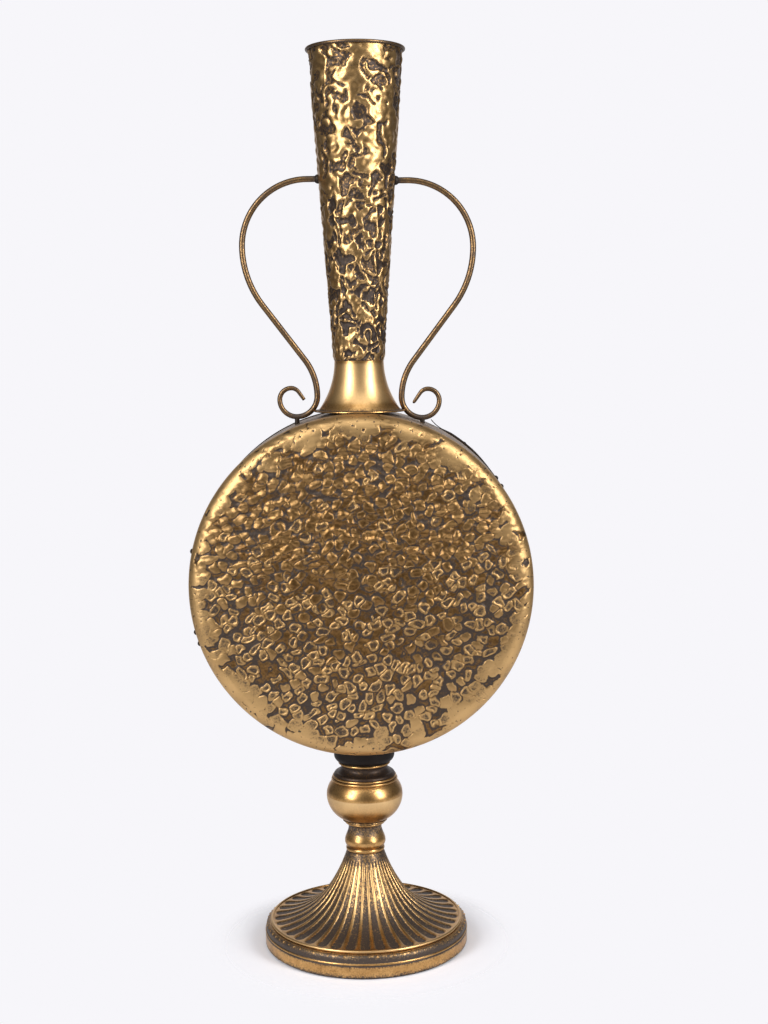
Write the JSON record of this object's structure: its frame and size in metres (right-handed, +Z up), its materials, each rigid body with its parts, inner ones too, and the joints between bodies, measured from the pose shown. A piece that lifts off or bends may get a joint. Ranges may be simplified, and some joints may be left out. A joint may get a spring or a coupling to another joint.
{
  "type": "vase",
  "caption": "Tall moon-flask vase: round embossed flask with a long conical neck and scrolled rod handles, on a turned stem with a fluted trumpet foot.",
  "frame": {"origin": "centre of the felt underside, on the surface the vase stands on", "axes": "+Z up along the stem and neck; the flask's faces look along -Y (front) and +Y (back); handles lie along X"},
  "size_m": [0.3392, 0.2086, 0.9],
  "materials": {
    "embossed_brass": "embossed sheet, antique brass with dark patina in the recesses",
    "satin_brass": "satin antique brass, lacquered",
    "dark_patina": "darkened brass, matt",
    "plain_steel": "zinc plated",
    "felt": "black felt"
  },
  "bodies": {
    "root": {"neck_tube": "embossed_brass", "front_face": "embossed_brass", "back_face": "embossed_brass", "neck_collar": "satin_brass", "mouth_ring": "satin_brass", "left_handle": "satin_brass", "right_handle": "satin_brass", "side_band": "satin_brass", "stem_bulb": "satin_brass", "bulb_collar": "satin_brass", "stem_knop": "satin_brass", "knop_bead": "satin_brass", "saucer_bead": "satin_brass", "bulb_cup": "satin_brass", "fluted_foot": "satin_brass", "plinth_ring": "satin_brass", "stem_saucer": "dark_patina", "upper_spool": "dark_patina", "seam_strap": "dark_patina", "seam_dabs": "dark_patina", "handle_neck_welds": "dark_patina", "scroll_welds": "dark_patina", "tie_rod": "plain_steel", "upper_nut": "plain_steel", "lower_nut": "plain_steel", "lower_washer": "plain_steel", "saddle_plate": "plain_steel", "base_pad": "felt"}
  },
  "joints": []
}
